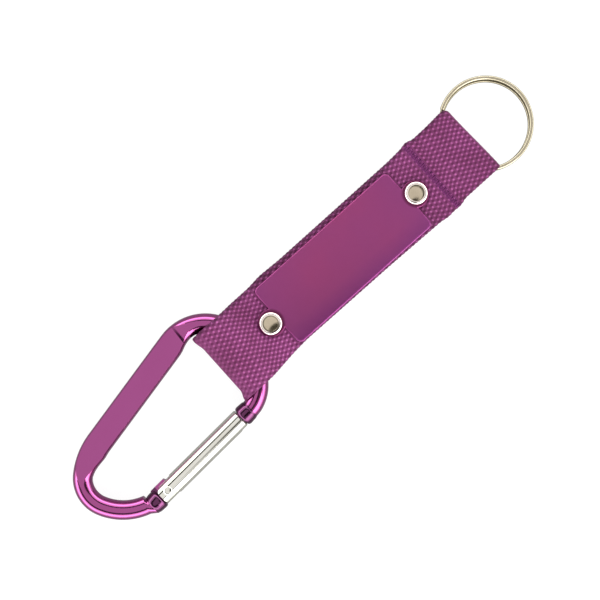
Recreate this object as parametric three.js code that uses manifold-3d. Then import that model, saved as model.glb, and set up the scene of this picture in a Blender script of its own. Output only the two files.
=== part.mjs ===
// A carabiner keyring: a bent aluminium snap hook and a split ring on one folded length of webbing,
// with a riveted name plate.  Millimetres, +Z up, lying flat.  +X runs along the strap towards the
// split ring, +Y towards the carabiner's spine.  Shapes are drawn with rivet A at X = 0, Y = 0, and
// the whole group is then moved so that the origin is the middle of the object's footprint.
import * as THREE from 'three';
import { mergeVertices } from 'three/addons/utils/BufferGeometryUtils.js';
import Module from 'manifold-3d';

const wasm = await Module();
wasm.setup();

// ---- driving dimensions -------------------------------------------------------------------------
const FOOTPRINT_MIDDLE = { x: 12.637, y: -0.2985 };

// webbing: 25 mm nylon tape in two layers, folded round the rod at one end and the ring at the other
const WEB = 1.2;                      // tape thickness
const WEB_WIDTH = 24.8;
const WEB_LOW_Y = -11.4;              // the lower edge of the riveted stretch
const HOOK_LOOP = { lowY: -11.0, width: 23.4 };   // the loops are pulled narrower by what they hold
const RING_LOOP = { lowY: -9.1, width: 21.5 };
const BACK_Z = 1.3;                   // underside of the back layer, which lies on the tail
const FRONT_Z = BACK_Z + WEB + 0.05;
const HOOK_FLEX_X = -4.4;             // where the tape bends beside rivet A
const HOOK_FOLD_X = -20.75;           // outside of the fold round the rod
const RING_FLEX_X = 69.6;             // where the tape bends beside the stitching
const RING_FOLD_X = 85.3;             // outside of the fold towards the ring
const TAIL_X = { start: 63.8, end: 69.3 };
const PIECE_GAP = 0.3;                // between two stretches of tape in different nodes

// stitching across all the layers
const STITCH_X = 67;
const STITCH_WIDTH = 1.5;
const STITCH_DEPTH = 0.3;

// name plate and rivets
const RIVET_PITCH = 60;
const PLATE = { length: 55, width: 22, thick: 1.0, corner: 1.8, lowY: -10.8, bevel: 0.2 };
const TAB_RADIUS = 4.4;
const TAB_INSET = 0.5;                // tab centre, measured inwards from the rivet
const SPOT = { radius: 3.75, depth: 0.12 };
const PLATE_Z = FRONT_Z + WEB + 0.05;
const CAP = { radius: 3.55, height: 1.0, rim: 0.72, groove: 0.16 };
const BACK_HEAD = { radius: 3.45, height: 0.75 };
const POST_RADIUS = 1.5;
const HOLE_RADIUS = 1.7;

// carabiner rod, bent in one plane
const ROD = 3.0;                      // rod radius
const ROD_Z = 4.4;                    // height of the rod's axis
const FLAT_HALF = 2.1;                // half thickness of the flattened spine
const FLAT_INNER = 5.25;              // how far the flattened spine reaches inwards from the rod's axis
const COLLAR = 3.35;                  // radius of the upset collar at each end of the rod
const SPINE_ANGLE = 11.7;             // degrees, the spine against the strap
const GATE_ANGLE = 2.8;               // degrees, the closed gate against the strap
const WIDE_LOW = { x: -24.0, y: -3.9, radius: 11.6 };
const WIDE_HIGH = { x: -24.0, y: 3.3, radius: 13.75 };
const NARROW = [{ radius: 22.2, turn: 29.6 }, { radius: 9.2, turn: 74.1 }, { radius: 17.6 }];
const SPINE_END_X = -63.7;            // where the straight spine starts to bend at the narrow end
const RING_SIDES = 24;

// gate: a round bar drilled from its hinge end for the spring and plunger
const GATE_RADIUS = 3.15;
const GATE_X = { hinge: -60.2, latch: -26.1 };
const GATE_Y_AT_PIN = -17.0;
const PIN_X = -57.2;
const PIN_RADIUS = 0.9;
const PIN_HEAD = { radius: 1.35, height: 0.3 };
const TONGUE = { half: 1.1, reach: 1.9, low: 2.3, high: 3.6 };
const SLOT_HALF = 1.35;
const BORE = { radius: 2.1, end: 17 };
const PLUNGER = { radius: 1.95, length: 3.2, gap: 0.35 };
const SPRING = { radius: 1.6, wire: 0.25, turns: 8 };
const NOSE = { half: 0.95, length: 2.0, thick: 1.5 };

// split ring: flat wire wound twice round
const RING = { x: 90.4, y: 1.65, outer: 14.8, wide: 1.9, tall: 1.25, gap: 0.06, z: 1.4 };

// ---- materials ----------------------------------------------------------------------------------
function finish(color, roughness, metalness) {
  return new THREE.MeshStandardMaterial({ color, roughness, metalness });
}
const PURPLE_METAL = 0xa4528b;
const PLATE_PURPLE = 0x96447a;
const WEBBING = 0x8b4673;
const THREAD = 0x6e3269;
const SILVER = 0xc9c7bd;
const NICKEL = 0xc8c0ae;
const SPRING_STEEL = 0x8f9092;

// ---- helpers ------------------------------------------------------------------------------------
const object = new THREE.Group();
const rad = THREE.MathUtils.degToRad;

function addPiece(name, geometry, material) {
  const mesh = new THREE.Mesh(geometry, material);
  mesh.name = name;
  object.add(mesh);
  return mesh;
}

function toSolid(geometry) {
  const plain = geometry.clone();
  plain.deleteAttribute('normal');
  plain.deleteAttribute('uv');
  const merged = mergeVertices(plain, 1e-4);
  const vertProperties = new Float32Array(merged.attributes.position.array);
  const triVerts = new Uint32Array(merged.index.array);
  return new wasm.Manifold(new wasm.Mesh({ numProp: 3, vertProperties, triVerts }));
}

function toGeometry(solid) {
  const mesh = solid.getMesh();
  const geometry = new THREE.BufferGeometry();
  geometry.setAttribute('position', new THREE.BufferAttribute(mesh.vertProperties, 3));
  geometry.setIndex(new THREE.BufferAttribute(mesh.triVerts, 1));
  return geometry;
}

// Closed rings of points joined into one skin, with a fan over each end.
function loft(rings) {
  const sides = rings[0].length;
  const points = rings.flat();
  const faces = [];
  for (let i = 0; i + 1 < rings.length; i += 1) {
    for (let k = 0; k < sides; k += 1) {
      const a = i * sides + k;
      const b = i * sides + (k + 1) % sides;
      faces.push(a, a + sides, b, b, a + sides, b + sides);
    }
  }
  const last = (rings.length - 1) * sides;
  for (let k = 1; k + 1 < sides; k += 1) {
    faces.push(0, k, k + 1, last, last + k + 1, last + k);
  }
  const geometry = new THREE.BufferGeometry().setFromPoints(points);
  geometry.setIndex(faces);
  return geometry;
}

// A shape in X and Z, extruded along +Y from lowY.
function slabAlongY(shape, lowY, width) {
  const geometry = new THREE.ExtrudeGeometry(shape, { depth: width, bevelEnabled: false });
  geometry.rotateX(Math.PI / 2);
  geometry.translate(0, lowY + width, 0);
  return geometry;
}

function uprightCylinder(x, y, lowZ, highZ, radius, sides) {
  const geometry = new THREE.CylinderGeometry(radius, radius, highZ - lowZ, sides);
  geometry.rotateX(Math.PI / 2);
  geometry.translate(x, y, (lowZ + highZ) / 2);
  return geometry;
}

function turned(profile, sides) {
  const points = profile.map(([r, z]) => new THREE.Vector2(r, z));
  const geometry = new THREE.LatheGeometry(points, sides);
  geometry.rotateX(Math.PI / 2);
  return geometry;
}

// The outline of a strip of constant thickness that follows a centre line in X and Z.
function bandShape(line, thickness) {
  const left = [];
  const right = [];
  line.forEach((point, i) => {
    const before = line[Math.max(i - 1, 0)];
    const after = line[Math.min(i + 1, line.length - 1)];
    const along = after.clone().sub(before).normalize();
    const across = new THREE.Vector2(-along.y, along.x).multiplyScalar(thickness / 2);
    left.push(point.clone().add(across));
    right.push(point.clone().sub(across));
  });
  return new THREE.Shape([...left, ...right.reverse()]);
}

function webbingWithHoles(shape) {
  let solid = toSolid(slabAlongY(shape, WEB_LOW_Y, WEB_WIDTH));
  for (const x of [0, RIVET_PITCH]) {
    solid = solid.subtract(toSolid(uprightCylinder(x, 0, -1, 8, HOLE_RADIUS, 24)));
  }
  return toGeometry(solid);
}

// ---- webbing ------------------------------------------------------------------------------------
// A flat stretch of tape with a groove where the stitches draw it in, on its upper or lower side.
function layerShape(start, end, low, grooveSide) {
  const high = low + WEB;
  const grooveStart = STITCH_X - STITCH_WIDTH / 2;
  const grooveEnd = STITCH_X + STITCH_WIDTH / 2;
  const shape = new THREE.Shape();
  shape.moveTo(start, low);
  if (grooveSide < 0) {
    shape.lineTo(grooveStart, low);
    shape.lineTo(grooveStart, low + STITCH_DEPTH);
    shape.lineTo(grooveEnd, low + STITCH_DEPTH);
    shape.lineTo(grooveEnd, low);
  }
  shape.lineTo(end, low);
  shape.lineTo(end, high);
  if (grooveSide > 0) {
    shape.lineTo(grooveEnd, high);
    shape.lineTo(grooveEnd, high - STITCH_DEPTH);
    shape.lineTo(grooveStart, high - STITCH_DEPTH);
    shape.lineTo(grooveStart, high);
  }
  shape.lineTo(start, high);
  return shape;
}

function webbingFront() {
  const start = HOOK_FLEX_X + PIECE_GAP / 2;
  const end = RING_FLEX_X - PIECE_GAP / 2;
  return webbingWithHoles(layerShape(start, end, FRONT_Z, 1));
}

function webbingBack() {
  const start = HOOK_FLEX_X + PIECE_GAP / 2;
  return webbingWithHoles(layerShape(start, TAIL_X.end, BACK_Z, 0));
}

// The other end of the tape, which comes back from the ring loop and lies under the back layer.
function webbingTail() {
  const end = RING_FLEX_X - PIECE_GAP / 2;
  return slabAlongY(layerShape(TAIL_X.start, end, 0, -1), WEB_LOW_Y, WEB_WIDTH);
}

// The tape leaves rivet A, climbs over the rod, turns under it and comes back to the rivet.
function webbingHookLoop() {
  const end = HOOK_FLEX_X - PIECE_GAP / 2;
  const top = 2 * ROD_Z - WEB / 2;
  const turnRadius = ROD_Z - WEB / 2;
  const turnX = HOOK_FOLD_X + WEB / 2 + turnRadius;
  const path = new THREE.Path();
  path.moveTo(end, FRONT_Z + WEB / 2);
  path.bezierCurveTo(end - 2.6, FRONT_Z + WEB / 2, end - 1.4, top, end - 4.8, top);
  path.lineTo(turnX, top);
  path.absarc(turnX, ROD_Z, turnRadius, Math.PI / 2, 1.5 * Math.PI, false);
  path.lineTo(end - 4.5, WEB / 2);
  path.bezierCurveTo(end - 2.5, WEB / 2, end - 2, BACK_Z + WEB / 2, end, BACK_Z + WEB / 2);
  return slabAlongY(bandShape(path.getPoints(9), WEB), HOOK_LOOP.lowY, HOOK_LOOP.width);
}

// The same at the other end, low and flat because the ring is thin.
function webbingRingLoop() {
  const start = RING_FLEX_X + PIECE_GAP / 2;
  const ringTop = RING.z + 2 * RING.tall + RING.gap;
  const top = ringTop + 0.15 + WEB / 2;
  const middle = (top + WEB / 2) / 2;
  const turnRadius = middle - WEB / 2;
  const turnX = RING_FOLD_X - WEB / 2 - turnRadius;
  const frontZ = FRONT_Z + WEB / 2;
  const path = new THREE.Path();
  path.moveTo(start, frontZ);
  path.bezierCurveTo(start + 1.5, frontZ, start + 2.0, top, start + 4.2, top);
  path.lineTo(turnX, top);
  path.absarc(turnX, middle, turnRadius, Math.PI / 2, -Math.PI / 2, true);
  path.lineTo(start, WEB / 2);
  return slabAlongY(bandShape(path.getPoints(8), WEB), RING_LOOP.lowY, RING_LOOP.width);
}

function stitchThread(lowZ) {
  const inset = 0.6;
  const geometry = new THREE.BoxGeometry(STITCH_WIDTH - 0.1, WEB_WIDTH - 2 * inset, STITCH_DEPTH - 0.05);
  geometry.translate(STITCH_X, WEB_LOW_Y + WEB_WIDTH / 2, lowZ + (STITCH_DEPTH - 0.05) / 2);
  return geometry;
}

// ---- name plate and rivets ----------------------------------------------------------------------
function plateOutline() {
  const { length, width, corner, lowY, bevel } = PLATE;
  const left = (RIVET_PITCH - length) / 2 + bevel;
  const right = left + length - 2 * bevel;
  const low = lowY + bevel;
  const high = lowY + width - bevel;
  const tab = TAB_RADIUS - bevel;
  const tabLeft = TAB_INSET;
  const tabRight = RIVET_PITCH - TAB_INSET;
  const half = Math.sqrt(tab ** 2 - (left - tabLeft) ** 2);
  const tabAngle = Math.atan2(half, left - tabLeft);
  const shape = new THREE.Shape();
  shape.moveTo(left + corner, low);
  shape.lineTo(right - corner, low);
  shape.absarc(right - corner, low + corner, corner, -Math.PI / 2, 0, false);
  shape.lineTo(right, -half);
  shape.absarc(tabRight, 0, tab, tabAngle - Math.PI, Math.PI - tabAngle, false);
  shape.lineTo(right, high - corner);
  shape.absarc(right - corner, high - corner, corner, 0, Math.PI / 2, false);
  shape.lineTo(left + corner, high);
  shape.absarc(left + corner, high - corner, corner, Math.PI / 2, Math.PI, false);
  shape.lineTo(left, half);
  shape.absarc(tabLeft, 0, tab, tabAngle, 2 * Math.PI - tabAngle, false);
  shape.lineTo(left, low + corner);
  shape.absarc(left + corner, low + corner, corner, Math.PI, 1.5 * Math.PI, false);
  return shape;
}

// Bevelled all round, with a shallow seat for each rivet cap.
function namePlate() {
  const { thick, bevel } = PLATE;
  const blank = new THREE.ExtrudeGeometry(plateOutline(), {
    depth: thick - 2 * bevel,
    bevelThickness: bevel,
    bevelSize: bevel,
    bevelSegments: 1,
    curveSegments: 10,
  });
  blank.translate(0, 0, PLATE_Z + bevel);
  let solid = toSolid(blank);
  const top = PLATE_Z + thick;
  for (const x of [0, RIVET_PITCH]) {
    solid = solid.subtract(toSolid(uprightCylinder(x, 0, 0, top + 1, HOLE_RADIUS, 24)));
    solid = solid.subtract(toSolid(uprightCylinder(x, 0, top - SPOT.depth, top + 1, SPOT.radius, 48)));
  }
  return toGeometry(solid);
}

// A pressed cap: a bright rolled rim, a groove and a low dome, hollow for the top of the post.
function rivetCap(x) {
  const { radius, height, rim, groove } = CAP;
  const inner = radius - rim;
  const profile = [[0, 0.45], [POST_RADIUS + 0.05, 0.45], [POST_RADIUS + 0.05, 0], [radius - 0.15, 0]];
  for (let i = 0; i <= 6; i += 1) {
    const angle = -0.35 * Math.PI + (i / 6) * 1.1 * Math.PI;
    const centre = radius - rim / 2;
    profile.push([centre + (rim / 2) * Math.cos(angle), height * 0.55 + (rim / 2) * Math.sin(angle)]);
  }
  profile.push([inner - 0.05, height * 0.55 + groove]);
  for (let i = 0; i <= 5; i += 1) {
    const r = (inner - 0.25) * (1 - i / 5);
    profile.push([r, height - (height * 0.28) * (r / inner) ** 2]);
  }
  const geometry = turned(profile, 40);
  geometry.translate(x, 0, PLATE_Z + PLATE.thick - SPOT.depth + 0.02);
  return geometry;
}

// The post comes up from the back, where its own head is a plain low dome.
function rivetPost(x) {
  const top = PLATE_Z + PLATE.thick - SPOT.depth + 0.4;
  const low = BACK_Z - 0.02 - BACK_HEAD.height;
  const high = BACK_Z - 0.02;
  const { radius } = BACK_HEAD;
  const profile = [[0, low], [radius * 0.6, low + 0.05], [radius * 0.9, low + 0.22], [radius, low + 0.45]];
  profile.push([radius, high], [POST_RADIUS, high], [POST_RADIUS, top - 0.2]);
  profile.push([POST_RADIUS - 0.2, top], [0, top]);
  const geometry = turned(profile, 36);
  geometry.translate(x, 0, 0);
  return geometry;
}

// ---- carabiner ----------------------------------------------------------------------------------
// Stations along the rod's axis: a point, the direction of travel, and what the section is there.
function addArc(stations, centre, radius, from, to, steps) {
  for (let i = 0; i <= steps; i += 1) {
    const angle = rad(from + ((to - from) * i) / steps);
    stations.push({
      x: centre.x + radius * Math.cos(angle),
      y: centre.y + radius * Math.sin(angle),
      heading: angle + Math.PI / 2,
    });
  }
}

function wideEndStations() {
  const stations = [];
  const lift = WIDE_HIGH.y - WIDE_LOW.y;
  const side = -THREE.MathUtils.radToDeg(Math.asin((WIDE_HIGH.radius - WIDE_LOW.radius) / lift));
  addArc(stations, WIDE_LOW, WIDE_LOW.radius, -90 + GATE_ANGLE, side, 14);
  addArc(stations, WIDE_HIGH, WIDE_HIGH.radius, side, 90 + SPINE_ANGLE, 22);
  return stations;
}

function narrowEndStations(spineEnd) {
  const stations = [];
  let heading = 180 + SPINE_ANGLE;
  let point = spineEnd;
  const total = 180 + GATE_ANGLE - SPINE_ANGLE;
  const turns = NARROW.map((bend) => bend.turn ?? 0);
  turns[NARROW.length - 1] = total - turns.reduce((sum, turn) => sum + turn, 0);
  NARROW.forEach((bend, i) => {
    const normal = rad(heading + 90);
    const centre = {
      x: point.x + bend.radius * Math.cos(normal),
      y: point.y + bend.radius * Math.sin(normal),
    };
    addArc(stations, centre, bend.radius, heading - 90, heading - 90 + turns[i], i === 1 ? 12 : 9);
    heading += turns[i];
    point = stations[stations.length - 1];
  });
  return stations;
}

function smooth(value, from, to) {
  return THREE.MathUtils.smoothstep(value, Math.min(from, to), Math.max(from, to));
}

// How flat the rod is: 1 on the pressed spine, 0 where it is round.
function flatness(station) {
  if (station.y < 0) {
    return 0;
  }
  const wideEnd = 1 - smooth(station.x, -24.0, -17.5);
  const narrowEnd = smooth(station.x, -75.8, -66.5);
  return Math.min(wideEnd, narrowEnd);
}

// One closed section across the rod.  Positive "out" is away from the eye of the carabiner.
function section(station, radius) {
  const flat = flatness(station);
  const ring = [];
  const reachOut = radius;
  const reachIn = THREE.MathUtils.lerp(radius, FLAT_INNER, flat);
  const half = THREE.MathUtils.lerp(radius, FLAT_HALF, flat);
  const middle = (reachOut - reachIn) / 2;
  const width = (reachOut + reachIn) / 2;
  const square = THREE.MathUtils.lerp(1, 0.42, flat);
  for (let k = 0; k < RING_SIDES; k += 1) {
    const angle = (2 * Math.PI * (k + 0.5)) / RING_SIDES;
    const c = Math.cos(angle);
    const s = Math.sin(angle);
    const across = Math.sign(c) * Math.abs(c) ** square * width + middle;
    const up = Math.sign(s) * Math.min(Math.abs(s) ** square / 0.94 ** flat, 1) * half;
    const normal = station.heading - Math.PI / 2;
    ring.push(new THREE.Vector3(
      station.x + across * Math.cos(normal),
      station.y + across * Math.sin(normal),
      ROD_Z + up,
    ));
  }
  return ring;
}

function shifted(station, distance) {
  return {
    x: station.x + distance * Math.cos(station.heading),
    y: station.y + distance * Math.sin(station.heading),
    heading: station.heading,
  };
}

// A bevelled collar, from its flat face to the neck where the rod goes on.
function collarSections(station, direction) {
  const steps = [[0, 2.75], [0.35, COLLAR], [3.1, COLLAR], [3.9, ROD]];
  const rings = steps.map(([distance, radius]) => section(shifted(station, direction * distance), radius));
  return direction > 0 ? rings : rings.reverse();
}

// A flat tongue standing out of a collar, in the gate's own axes.
function tongueBlock(origin, angle, outline, half) {
  const shape = new THREE.Shape(outline.map(([x, y]) => new THREE.Vector2(x, y)));
  const geometry = new THREE.ExtrudeGeometry(shape, { depth: 2 * half, bevelEnabled: false });
  geometry.translate(0, 0, -half);
  geometry.rotateZ(rad(angle));
  geometry.translate(origin.x, origin.y, ROD_Z);
  return geometry;
}

const GATE_PIN = { x: PIN_X, y: GATE_Y_AT_PIN };

// A point on the closed gate's axis, "along" millimetres from its pin.
function onGate(along) {
  return {
    x: GATE_PIN.x + along * Math.cos(rad(GATE_ANGLE)),
    y: GATE_PIN.y + along * Math.sin(rad(GATE_ANGLE)),
  };
}

const HINGE_FACE = (GATE_X.hinge - 0.3 - PIN_X) / Math.cos(rad(GATE_ANGLE));
const LATCH_FACE = (GATE_X.latch + 0.3 - PIN_X) / Math.cos(rad(GATE_ANGLE));

function carabinerBody() {
  const wide = wideEndStations();
  const top = wide[wide.length - 1];
  const slope = Math.tan(rad(SPINE_ANGLE));
  const spineEnd = { x: SPINE_END_X, y: top.y + (SPINE_END_X - top.x) * slope };
  const narrow = narrowEndStations(spineEnd);
  const latch = { ...onGate(LATCH_FACE), heading: rad(GATE_ANGLE) };
  const hinge = { ...onGate(HINGE_FACE), heading: rad(GATE_ANGLE) };
  const beyondCollar = 4.6;
  const bend = [...wide, ...narrow].filter((station) => {
    const low = station.y < -10;
    const nearLatch = low && station.x > -40 && station.x < latch.x + beyondCollar;
    const nearHinge = low && station.x < -40 && station.x > hinge.x - beyondCollar;
    return !nearLatch && !nearHinge;
  });
  const rings = [
    ...collarSections(latch, 1),
    ...bend.filter((station, i) => i === 0 || distanceBetween(station, bend[i - 1]) > 0.2)
      .map((station) => section(station, ROD)),
    ...collarSections(hinge, -1),
  ];
  let solid = toSolid(loft(rings));
  const { half, reach, low, high } = TONGUE;
  const hingeTongue = [[HINGE_FACE - 1, -low], [reach, -low], [reach, 1.6], [0.9, high], [HINGE_FACE - 1, high]];
  solid = solid.add(toSolid(tongueBlock(GATE_PIN, GATE_ANGLE, hingeTongue, half)));
  const pinHole = uprightCylinder(GATE_PIN.x, GATE_PIN.y, 0, 9, PIN_RADIUS + 0.06, 20);
  solid = solid.subtract(toSolid(pinHole));
  const noseStart = LATCH_FACE - NOSE.length;
  const noseTop = BORE.radius - 0.25;
  const nose = [
    [noseStart, noseTop - NOSE.thick],
    [LATCH_FACE + 1, noseTop - NOSE.thick],
    [LATCH_FACE + 1, noseTop],
    [noseStart, noseTop],
  ];
  return toGeometry(solid.add(toSolid(tongueBlock(GATE_PIN, GATE_ANGLE, nose, NOSE.half))));
}

function distanceBetween(a, b) {
  return Math.hypot(a.x - b.x, a.y - b.y);
}

// ---- gate ---------------------------------------------------------------------------------------
// Cylinder along the gate's axis, in the gate's own frame: X along the gate from its pin, Z up.
function barAlongX(from, to, radius, sides) {
  const geometry = new THREE.CylinderGeometry(radius, radius, to - from, sides);
  geometry.rotateZ(Math.PI / 2);
  geometry.translate((from + to) / 2, 0, 0);
  return geometry;
}

function blockAt(x0, x1, y0, y1, z0, z1) {
  const geometry = new THREE.BoxGeometry(x1 - x0, y1 - y0, z1 - z0);
  geometry.translate((x0 + x1) / 2, (y0 + y1) / 2, (z0 + z1) / 2);
  return geometry;
}

function intoPlace(geometry) {
  geometry.rotateZ(rad(GATE_ANGLE));
  geometry.translate(GATE_PIN.x, GATE_PIN.y, ROD_Z);
  return geometry;
}

const GATE_START = HINGE_FACE + 0.3;
const GATE_END = LATCH_FACE - 0.3;

function gateTube() {
  const wall = GATE_RADIUS + 1;
  let solid = toSolid(barAlongX(GATE_START, GATE_END, GATE_RADIUS, 36));
  const cuts = [
    barAlongX(GATE_START - 1, BORE.end, BORE.radius, 24),
    blockAt(GATE_START - 1, TONGUE.reach + 1.2, -0.5, wall, -SLOT_HALF, SLOT_HALF),
    blockAt(GATE_START - 1, TONGUE.reach + 0.3, -wall, 0, -SLOT_HALF, SLOT_HALF),
    blockAt(GATE_END - NOSE.length - 0.5, GATE_END + 1, -wall, BORE.radius, -1.2, 1.2),
    uprightCylinder(0, 0, -wall, wall, PIN_RADIUS + 0.02, 20),
  ];
  for (const cut of cuts) {
    solid = solid.subtract(toSolid(cut));
  }
  // the inner corner beside the hinge is rounded about the pin, so the gate can swing inwards
  const corner = toSolid(blockAt(GATE_START - 1, 0, 0, wall, -wall, wall));
  const round = toSolid(uprightCylinder(0, 0, -wall - 1, wall + 1, GATE_RADIUS - 0.05, 40));
  solid = solid.subtract(corner.subtract(round));
  return intoPlace(toGeometry(solid));
}

function gateHingePin() {
  const under = GATE_RADIUS + 0.02;
  const top = under + PIN_HEAD.height;
  const profile = [[0, -top], [PIN_HEAD.radius - 0.3, -top], [PIN_HEAD.radius, -under]];
  profile.push([PIN_RADIUS, -under], [PIN_RADIUS, under], [PIN_HEAD.radius, under]);
  profile.push([PIN_HEAD.radius - 0.3, top], [0, top]);
  return intoPlace(turned(profile, 24));
}

function gatePlunger() {
  const start = TONGUE.reach + PLUNGER.gap;
  const end = start + PLUNGER.length;
  const spigot = SPRING.radius - SPRING.wire - 0.2;
  const profile = [[0, start], [PLUNGER.radius - 0.5, start], [PLUNGER.radius, start + 0.4]];
  profile.push([PLUNGER.radius, end - 1.2], [spigot, end - 1.2], [spigot, end], [0, end]);
  const geometry = new THREE.LatheGeometry(profile.map(([r, x]) => new THREE.Vector2(r, x)), 24);
  geometry.rotateZ(-Math.PI / 2);
  return intoPlace(geometry);
}

class Coil extends THREE.Curve {
  constructor(radius, from, to, turns) {
    super();
    Object.assign(this, { radius, from, to, turns });
  }

  getPoint(t) {
    const angle = 2 * Math.PI * this.turns * t;
    const x = THREE.MathUtils.lerp(this.from, this.to, t);
    return new THREE.Vector3(x, this.radius * Math.cos(angle), this.radius * Math.sin(angle));
  }
}

function roundSection(radius, sides) {
  const points = [];
  for (let k = 0; k < sides; k += 1) {
    const angle = (2 * Math.PI * k) / sides;
    points.push(new THREE.Vector2(radius * Math.cos(angle), radius * Math.sin(angle)));
  }
  return new THREE.Shape(points);
}

function gateSpring() {
  const from = TONGUE.reach + PLUNGER.gap + PLUNGER.length - 1.2 + SPRING.wire + 0.1;
  const to = BORE.end - SPRING.wire - 0.1;
  const coil = new Coil(SPRING.radius, from, to, SPRING.turns);
  const geometry = new THREE.ExtrudeGeometry(roundSection(SPRING.wire, 6), {
    steps: SPRING.turns * 14,
    extrudePath: coil,
    bevelEnabled: false,
  });
  return intoPlace(geometry);
}

// ---- split ring ---------------------------------------------------------------------------------
// Flat wire: one turn low, a short climb, one turn high.
class DoubleTurn extends THREE.Curve {
  getPoint(t) {
    const turns = 1.9;
    const angle = 2 * Math.PI * (0.04 + turns * t) + rad(100);
    const climb = THREE.MathUtils.smoothstep(t * turns, 0.91, 0.99);
    const low = RING.z + RING.tall / 2;
    const radius = RING.outer - RING.wide / 2;
    return new THREE.Vector3(
      radius * Math.cos(angle),
      radius * Math.sin(angle),
      low + climb * (RING.tall + RING.gap),
    );
  }
}

function splitRing() {
  const edge = 0.3;
  const halfTall = RING.tall / 2;
  const halfWide = RING.wide / 2;
  const corners = [];
  for (const [sx, sy] of [[1, 1], [-1, 1], [-1, -1], [1, -1]]) {
    const first = new THREE.Vector2(sx * halfTall, sy * (halfWide - edge));
    const second = new THREE.Vector2(sx * (halfTall - edge), sy * halfWide);
    corners.push(...(sx * sy > 0 ? [first, second] : [second, first]));
  }
  const geometry = new THREE.ExtrudeGeometry(new THREE.Shape(corners), {
    steps: 130,
    extrudePath: new DoubleTurn(),
    bevelEnabled: false,
  });
  geometry.translate(RING.x, RING.y, 0);
  return geometry;
}

// ---- assembly -----------------------------------------------------------------------------------
const webbing = () => finish(WEBBING, 0.9, 0);
addPiece('webbing_front', webbingFront(), webbing());
addPiece('webbing_back', webbingBack(), webbing());
addPiece('webbing_tail', webbingTail(), webbing());
addPiece('webbing_carabiner_loop', webbingHookLoop(), webbing());
addPiece('webbing_ring_loop', webbingRingLoop(), webbing());
addPiece('stitch_thread_front', stitchThread(FRONT_Z + WEB - STITCH_DEPTH + 0.03), finish(THREAD, 0.8, 0));
addPiece('stitch_thread_back', stitchThread(0.02), finish(THREAD, 0.8, 0));
addPiece('name_plate', namePlate(), finish(PLATE_PURPLE, 0.4, 0.8));
addPiece('rivet_cap_a', rivetCap(0), finish(NICKEL, 0.2, 1));
addPiece('rivet_cap_b', rivetCap(RIVET_PITCH), finish(NICKEL, 0.2, 1));
addPiece('rivet_post_a', rivetPost(0), finish(NICKEL, 0.25, 1));
addPiece('rivet_post_b', rivetPost(RIVET_PITCH), finish(NICKEL, 0.25, 1));
addPiece('carabiner_body', carabinerBody(), finish(PURPLE_METAL, 0.25, 0.9));
addPiece('gate_tube', gateTube(), finish(SILVER, 0.2, 1));
addPiece('gate_hinge_pin', gateHingePin(), finish(SILVER, 0.25, 1));
addPiece('gate_plunger', gatePlunger(), finish(SPRING_STEEL, 0.35, 1));
addPiece('gate_spring', gateSpring(), finish(SPRING_STEEL, 0.35, 1));
addPiece('split_ring', splitRing(), finish(NICKEL, 0.15, 1));

object.position.set(-FOOTPRINT_MIDDLE.x, -FOOTPRINT_MIDDLE.y, 0);

export default object;
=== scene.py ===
"""A carabiner keyring lying flat: folded nylon webbing, a riveted name plate, a snap hook, a split ring.

Shapes are worked out in millimetres in the strap's own frame: X = 0, Y = 0 is the axis of rivet A,
+X runs along the strap towards the split ring, +Y towards the hook's spine and Z = 0 is the floor.
place() turns them into metres in the shared row frame.
"""
import math

import bmesh
import bpy
import numpy as np
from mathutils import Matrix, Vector


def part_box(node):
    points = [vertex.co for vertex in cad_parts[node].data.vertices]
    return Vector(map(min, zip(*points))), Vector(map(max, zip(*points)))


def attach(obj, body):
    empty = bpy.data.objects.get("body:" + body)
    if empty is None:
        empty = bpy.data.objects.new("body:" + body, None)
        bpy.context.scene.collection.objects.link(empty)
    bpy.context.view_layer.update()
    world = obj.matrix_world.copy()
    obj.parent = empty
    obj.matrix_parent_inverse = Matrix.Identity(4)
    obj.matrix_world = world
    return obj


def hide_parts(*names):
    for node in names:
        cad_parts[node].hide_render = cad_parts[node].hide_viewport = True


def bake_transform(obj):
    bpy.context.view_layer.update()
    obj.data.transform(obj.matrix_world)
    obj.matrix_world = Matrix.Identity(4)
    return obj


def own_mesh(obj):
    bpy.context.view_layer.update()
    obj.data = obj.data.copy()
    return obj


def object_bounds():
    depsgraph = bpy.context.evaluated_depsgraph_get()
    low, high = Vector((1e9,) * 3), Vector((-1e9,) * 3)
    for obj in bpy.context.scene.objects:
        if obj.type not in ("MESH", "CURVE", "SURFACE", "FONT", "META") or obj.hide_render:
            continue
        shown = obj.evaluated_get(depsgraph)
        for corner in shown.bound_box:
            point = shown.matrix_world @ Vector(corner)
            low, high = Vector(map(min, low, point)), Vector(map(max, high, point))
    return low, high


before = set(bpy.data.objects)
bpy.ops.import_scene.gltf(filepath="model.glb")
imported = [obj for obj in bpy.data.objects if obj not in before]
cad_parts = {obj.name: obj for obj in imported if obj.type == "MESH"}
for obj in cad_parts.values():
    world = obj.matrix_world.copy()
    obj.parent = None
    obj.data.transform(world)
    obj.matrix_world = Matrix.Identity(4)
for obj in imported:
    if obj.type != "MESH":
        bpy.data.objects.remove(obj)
CAD_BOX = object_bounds()

MM = 0.001
PI = math.pi


def middle(node):
    """The middle of a CAD node's box, in millimetres of the shared row frame."""
    low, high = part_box(node)
    return (low + high) / 2 / MM


def top_of(node):
    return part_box(node)[1].z / MM


ORIGIN = np.array([middle("rivet_cap_a").x, middle("rivet_cap_a").y, 0.0])
RIVET_PITCH = middle("rivet_cap_b").x - middle("rivet_cap_a").x


def place(points):
    """Strap-frame millimetres as metres in the shared row frame."""
    return (np.asarray(points, float) + ORIGIN) * MM


def mix(a, b, t):
    return a + (b - a) * t


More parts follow.
